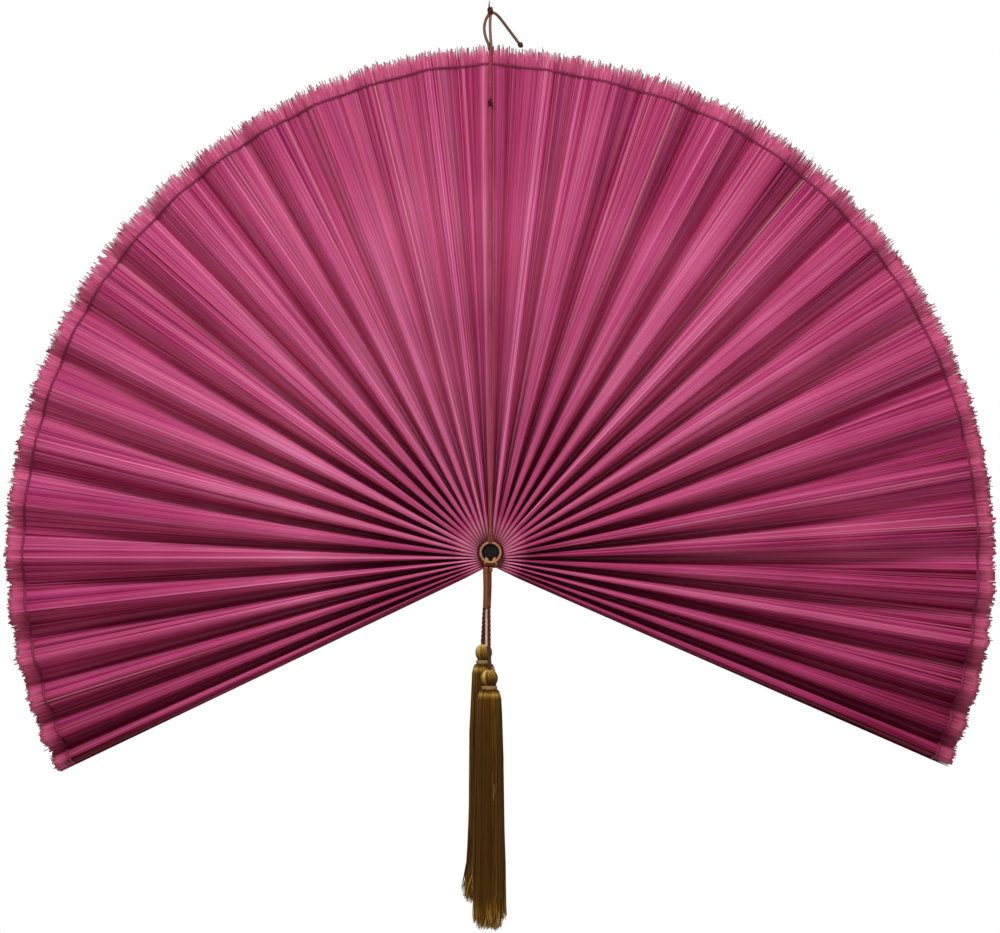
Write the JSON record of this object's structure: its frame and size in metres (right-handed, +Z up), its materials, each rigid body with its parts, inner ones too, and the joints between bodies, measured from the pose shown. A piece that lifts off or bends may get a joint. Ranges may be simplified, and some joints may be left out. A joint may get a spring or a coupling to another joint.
{
  "type": "pleated bamboo wall fan",
  "caption": "Pleated bamboo fan that opens round a ringed hub, hangs from a nail by a knotted cord, and carries two tassels below.",
  "frame": {"origin": "where the nail holds the hanging loop, just under the loop's knot", "axes": "+X to the right as one faces the fan, +Y towards the wall behind it, +Z up"},
  "size_m": [0.8414, 0.0498, 0.7837],
  "materials": {
    "bamboo_splints": "dyed split bamboo, satin",
    "ring_lacquer": "dark red lacquer with a tan inner band",
    "core_black": "matt black",
    "satin_cord": "brown twisted satin cord",
    "tassel_yarn": "olive gold rayon yarn"
  },
  "bodies": {
    "root": {"hub_ring": "ring_lacquer", "hub_core": "core_black", "gather_cord": "satin_cord", "cord_hitch": "satin_cord", "tassel_hitch": "satin_cord", "pleat_19": "bamboo_splints", "hanging_cord_lower": "satin_cord", "mid_knot": "satin_cord", "hanging_cord_upper": "satin_cord", "loop_left": "satin_cord", "loop_right": "satin_cord", "top_knot": "satin_cord", "tail_cord": "satin_cord", "tail_knot": "satin_cord"},
    "pleat_01": {"pleat_01": "bamboo_splints"},
    "pleat_02": {"pleat_02": "bamboo_splints"},
    "pleat_03": {"pleat_03": "bamboo_splints"},
    "pleat_04": {"pleat_04": "bamboo_splints"},
    "pleat_05": {"pleat_05": "bamboo_splints"},
    "pleat_06": {"pleat_06": "bamboo_splints"},
    "pleat_07": {"pleat_07": "bamboo_splints"},
    "pleat_08": {"pleat_08": "bamboo_splints"},
    "pleat_09": {"pleat_09": "bamboo_splints"},
    "pleat_10": {"pleat_10": "bamboo_splints"},
    "pleat_11": {"pleat_11": "bamboo_splints"},
    "pleat_12": {"pleat_12": "bamboo_splints"},
    "pleat_13": {"pleat_13": "bamboo_splints"},
    "pleat_14": {"pleat_14": "bamboo_splints"},
    "pleat_15": {"pleat_15": "bamboo_splints"},
    "pleat_16": {"pleat_16": "bamboo_splints"},
    "pleat_17": {"pleat_17": "bamboo_splints"},
    "pleat_18": {"pleat_18": "bamboo_splints"},
    "pleat_36": {"pleat_36": "bamboo_splints"},
    "pleat_20": {"pleat_20": "bamboo_splints"},
    "pleat_21": {"pleat_21": "bamboo_splints"},
    "pleat_22": {"pleat_22": "bamboo_splints"},
    "pleat_23": {"pleat_23": "bamboo_splints"},
    "pleat_24": {"pleat_24": "bamboo_splints"},
    "pleat_25": {"pleat_25": "bamboo_splints"},
    "pleat_26": {"pleat_26": "bamboo_splints"},
    "pleat_27": {"pleat_27": "bamboo_splints"},
    "pleat_28": {"pleat_28": "bamboo_splints"},
    "pleat_29": {"pleat_29": "bamboo_splints"},
    "pleat_30": {"pleat_30": "bamboo_splints"},
    "pleat_31": {"pleat_31": "bamboo_splints"},
    "pleat_32": {"pleat_32": "bamboo_splints"},
    "pleat_33": {"pleat_33": "bamboo_splints"},
    "pleat_34": {"pleat_34": "bamboo_splints"},
    "pleat_35": {"pleat_35": "bamboo_splints"},
    "tassel_drop": {"tassel_cord": "satin_cord"},
    "rear_tassel": {"rear_tassel_strand": "satin_cord", "rear_tassel_head": "tassel_yarn", "rear_tassel_band": "tassel_yarn", "rear_tassel_skirt": "tassel_yarn"},
    "front_tassel": {"front_tassel_strand": "satin_cord", "front_tassel_head": "tassel_yarn", "front_tassel_band": "tassel_yarn", "front_tassel_skirt": "tassel_yarn"}
  },
  "joints": [
    {"name": "left_wing_fold", "type": "hinge", "parent": "root", "child": "pleat_01", "pos_m": [0, 0, -0.455], "axis": [0, 1, 0], "range_deg": [0, 109.1], "deforming": ["pleat_01"]},
    {"name": "pleat_02_fold", "type": "hinge", "parent": "root", "child": "pleat_02", "pos_m": [0, 0, -0.455], "axis": [0, 1, 0], "range_deg": [0, 105.87], "deforming": ["pleat_02"]},
    {"name": "pleat_03_fold", "type": "hinge", "parent": "root", "child": "pleat_03", "pos_m": [0, 0, -0.455], "axis": [0, 1, 0], "range_deg": [0, 101.77], "deforming": ["pleat_03"]},
    {"name": "pleat_04_fold", "type": "hinge", "parent": "root", "child": "pleat_04", "pos_m": [0, 0, -0.455], "axis": [0, 1, 0], "range_deg": [0, 96.91], "deforming": ["pleat_04"]},
    {"name": "pleat_05_fold", "type": "hinge", "parent": "root", "child": "pleat_05", "pos_m": [0, 0, -0.455], "axis": [0, 1, 0], "range_deg": [0, 91.35], "deforming": ["pleat_05"]},
    {"name": "pleat_06_fold", "type": "hinge", "parent": "root", "child": "pleat_06", "pos_m": [0, 0, -0.455], "axis": [0, 1, 0], "range_deg": [0, 85.21], "deforming": ["pleat_06"]},
    {"name": "pleat_07_fold", "type": "hinge", "parent": "root", "child": "pleat_07", "pos_m": [0, 0, -0.455], "axis": [0, 1, 0], "range_deg": [0, 78.66], "deforming": ["pleat_07"]},
    {"name": "pleat_08_fold", "type": "hinge", "parent": "root", "child": "pleat_08", "pos_m": [0, 0, -0.455], "axis": [0, 1, 0], "range_deg": [0, 72.11], "deforming": ["pleat_08"]},
    {"name": "pleat_09_fold", "type": "hinge", "parent": "root", "child": "pleat_09", "pos_m": [0, 0, -0.455], "axis": [0, 1, 0], "range_deg": [0, 65.56], "deforming": ["pleat_09"]},
    {"name": "pleat_10_fold", "type": "hinge", "parent": "root", "child": "pleat_10", "pos_m": [0, 0, -0.455], "axis": [0, 1, 0], "range_deg": [0, 59.01], "deforming": ["pleat_10"]},
    {"name": "pleat_11_fold", "type": "hinge", "parent": "root", "child": "pleat_11", "pos_m": [0, 0, -0.455], "axis": [0, 1, 0], "range_deg": [0, 52.46], "deforming": ["pleat_11"]},
    {"name": "pleat_12_fold", "type": "hinge", "parent": "root", "child": "pleat_12", "pos_m": [0, 0, -0.455], "axis": [0, 1, 0], "range_deg": [0, 45.9], "deforming": ["pleat_12"]},
    {"name": "pleat_13_fold", "type": "hinge", "parent": "root", "child": "pleat_13", "pos_m": [0, 0, -0.455], "axis": [0, 1, 0], "range_deg": [0, 39.35], "deforming": ["pleat_13"]},
    {"name": "pleat_14_fold", "type": "hinge", "parent": "root", "child": "pleat_14", "pos_m": [0, 0, -0.455], "axis": [0, 1, 0], "range_deg": [0, 32.8], "deforming": ["pleat_14"]},
    {"name": "pleat_15_fold", "type": "hinge", "parent": "root", "child": "pleat_15", "pos_m": [0, 0, -0.455], "axis": [0, 1, 0], "range_deg": [0, 26.25], "deforming": ["pleat_15"]},
    {"name": "pleat_16_fold", "type": "hinge", "parent": "root", "child": "pleat_16", "pos_m": [0, 0, -0.455], "axis": [0, 1, 0], "range_deg": [0, 19.7], "deforming": ["pleat_16"]},
    {"name": "pleat_17_fold", "type": "hinge", "parent": "root", "child": "pleat_17", "pos_m": [0, 0, -0.455], "axis": [0, 1, 0], "range_deg": [0, 13.15], "deforming": ["pleat_17"]},
    {"name": "pleat_18_fold", "type": "hinge", "parent": "root", "child": "pleat_18", "pos_m": [0, 0, -0.455], "axis": [0, 1, 0], "range_deg": [0, 6.6], "deforming": ["pleat_18"]},
    {"name": "right_wing_fold", "type": "hinge", "parent": "root", "child": "pleat_36", "pos_m": [0, 0, -0.455], "axis": [0, -1, 0], "range_deg": [0, 107.3], "deforming": ["pleat_36"]},
    {"name": "pleat_20_fold", "type": "hinge", "parent": "root", "child": "pleat_20", "pos_m": [0, 0, -0.455], "axis": [0, -1, 0], "range_deg": [0, 6.9], "deforming": ["pleat_20"]},
    {"name": "pleat_21_fold", "type": "hinge", "parent": "root", "child": "pleat_21", "pos_m": [0, 0, -0.455], "axis": [0, -1, 0], "range_deg": [0, 13.76], "deforming": ["pleat_21"]},
    {"name": "pleat_22_fold", "type": "hinge", "parent": "root", "child": "pleat_22", "pos_m": [0, 0, -0.455], "axis": [0, -1, 0], "range_deg": [0, 20.61], "deforming": ["pleat_22"]},
    {"name": "pleat_23_fold", "type": "hinge", "parent": "root", "child": "pleat_23", "pos_m": [0, 0, -0.455], "axis": [0, -1, 0], "range_deg": [0, 27.47], "deforming": ["pleat_23"]},
    {"name": "pleat_24_fold", "type": "hinge", "parent": "root", "child": "pleat_24", "pos_m": [0, 0, -0.455], "axis": [0, -1, 0], "range_deg": [0, 34.32], "deforming": ["pleat_24"]},
    {"name": "pleat_25_fold", "type": "hinge", "parent": "root", "child": "pleat_25", "pos_m": [0, 0, -0.455], "axis": [0, -1, 0], "range_deg": [0, 41.17], "deforming": ["pleat_25"]},
    {"name": "pleat_26_fold", "type": "hinge", "parent": "root", "child": "pleat_26", "pos_m": [0, 0, -0.455], "axis": [0, -1, 0], "range_deg": [0, 48.03], "deforming": ["pleat_26"]},
    {"name": "pleat_27_fold", "type": "hinge", "parent": "root", "child": "pleat_27", "pos_m": [0, 0, -0.455], "axis": [0, -1, 0], "range_deg": [0, 54.88], "deforming": ["pleat_27"]},
    {"name": "pleat_28_fold", "type": "hinge", "parent": "root", "child": "pleat_28", "pos_m": [0, 0, -0.455], "axis": [0, -1, 0], "range_deg": [0, 61.74], "deforming": ["pleat_28"]},
    {"name": "pleat_29_fold", "type": "hinge", "parent": "root", "child": "pleat_29", "pos_m": [0, 0, -0.455], "axis": [0, -1, 0], "range_deg": [0, 68.59], "deforming": ["pleat_29"]},
    {"name": "pleat_30_fold", "type": "hinge", "parent": "root", "child": "pleat_30", "pos_m": [0, 0, -0.455], "axis": [0, -1, 0], "range_deg": [0, 75.45], "deforming": ["pleat_30"]},
    {"name": "pleat_31_fold", "type": "hinge", "parent": "root", "child": "pleat_31", "pos_m": [0, 0, -0.455], "axis": [0, -1, 0], "range_deg": [0, 82.3], "deforming": ["pleat_31"]},
    {"name": "pleat_32_fold", "type": "hinge", "parent": "root", "child": "pleat_32", "pos_m": [0, 0, -0.455], "axis": [0, -1, 0], "range_deg": [0, 88.73], "deforming": ["pleat_32"]},
    {"name": "pleat_33_fold", "type": "hinge", "parent": "root", "child": "pleat_33", "pos_m": [0, 0, -0.455], "axis": [0, -1, 0], "range_deg": [0, 94.54], "deforming": ["pleat_33"]},
    {"name": "pleat_34_fold", "type": "hinge", "parent": "root", "child": "pleat_34", "pos_m": [0, 0, -0.455], "axis": [0, -1, 0], "range_deg": [0, 99.63], "deforming": ["pleat_34"]},
    {"name": "pleat_35_fold", "type": "hinge", "parent": "root", "child": "pleat_35", "pos_m": [0, 0, -0.455], "axis": [0, -1, 0], "range_deg": [0, 103.92], "deforming": ["pleat_35"]},
    {"name": "tassel_drop_swing", "type": "hinge", "parent": "root", "child": "tassel_drop", "pos_m": [-0.0012, -0.01945, -0.46915], "axis": [0, 1, 0], "range_deg": [-45, 45]},
    {"name": "rear_tassel_swing", "type": "hinge", "parent": "tassel_drop", "child": "rear_tassel", "pos_m": [-0.0048, -0.01945, -0.5042], "axis": [0, 1, 0], "range_deg": [-20, 20]},
    {"name": "front_tassel_swing", "type": "hinge", "parent": "tassel_drop", "child": "front_tassel", "pos_m": [-0.0008, -0.01945, -0.5042], "axis": [0, 1, 0], "range_deg": [-20, 20]}
  ],
  "couplings": [
    {"joint": "pleat_02_fold", "follows": "left_wing_fold", "ratio": 0.96998},
    {"joint": "pleat_03_fold", "follows": "left_wing_fold", "ratio": 0.9324},
    {"joint": "pleat_04_fold", "follows": "left_wing_fold", "ratio": 0.88781},
    {"joint": "pleat_05_fold", "follows": "left_wing_fold", "ratio": 0.83689},
    {"joint": "pleat_06_fold", "follows": "left_wing_fold", "ratio": 0.78055},
    {"joint": "pleat_07_fold", "follows": "left_wing_fold", "ratio": 0.72051},
    {"joint": "pleat_08_fold", "follows": "left_wing_fold", "ratio": 0.66047},
    {"joint": "pleat_09_fold", "follows": "left_wing_fold", "ratio": 0.60042},
    {"joint": "pleat_10_fold", "follows": "left_wing_fold", "ratio": 0.54038},
    {"joint": "pleat_11_fold", "follows": "left_wing_fold", "ratio": 0.48034},
    {"joint": "pleat_12_fold", "follows": "left_wing_fold", "ratio": 0.4203},
    {"joint": "pleat_13_fold", "follows": "left_wing_fold", "ratio": 0.36025},
    {"joint": "pleat_14_fold", "follows": "left_wing_fold", "ratio": 0.30021},
    {"joint": "pleat_15_fold", "follows": "left_wing_fold", "ratio": 0.24017},
    {"joint": "pleat_16_fold", "follows": "left_wing_fold", "ratio": 0.18013},
    {"joint": "pleat_17_fold", "follows": "left_wing_fold", "ratio": 0.12008},
    {"joint": "pleat_18_fold", "follows": "left_wing_fold", "ratio": 0.06004},
    {"joint": "pleat_20_fold", "follows": "right_wing_fold", "ratio": 0.06388},
    {"joint": "pleat_21_fold", "follows": "right_wing_fold", "ratio": 0.12776},
    {"joint": "pleat_22_fold", "follows": "right_wing_fold", "ratio": 0.19163},
    {"joint": "pleat_23_fold", "follows": "right_wing_fold", "ratio": 0.25551},
    {"joint": "pleat_24_fold", "follows": "right_wing_fold", "ratio": 0.31939},
    {"joint": "pleat_25_fold", "follows": "right_wing_fold", "ratio": 0.38327},
    {"joint": "pleat_26_fold", "follows": "right_wing_fold", "ratio": 0.44714},
    {"joint": "pleat_27_fold", "follows": "right_wing_fold", "ratio": 0.51102},
    {"joint": "pleat_28_fold", "follows": "right_wing_fold", "ratio": 0.5749},
    {"joint": "pleat_29_fold", "follows": "right_wing_fold", "ratio": 0.63878},
    {"joint": "pleat_30_fold", "follows": "right_wing_fold", "ratio": 0.70266},
    {"joint": "pleat_31_fold", "follows": "right_wing_fold", "ratio": 0.76653},
    {"joint": "pleat_32_fold", "follows": "right_wing_fold", "ratio": 0.82647},
    {"joint": "pleat_33_fold", "follows": "right_wing_fold", "ratio": 0.88064},
    {"joint": "pleat_34_fold", "follows": "right_wing_fold", "ratio": 0.92808},
    {"joint": "pleat_35_fold", "follows": "right_wing_fold", "ratio": 0.96806}
  ]
}
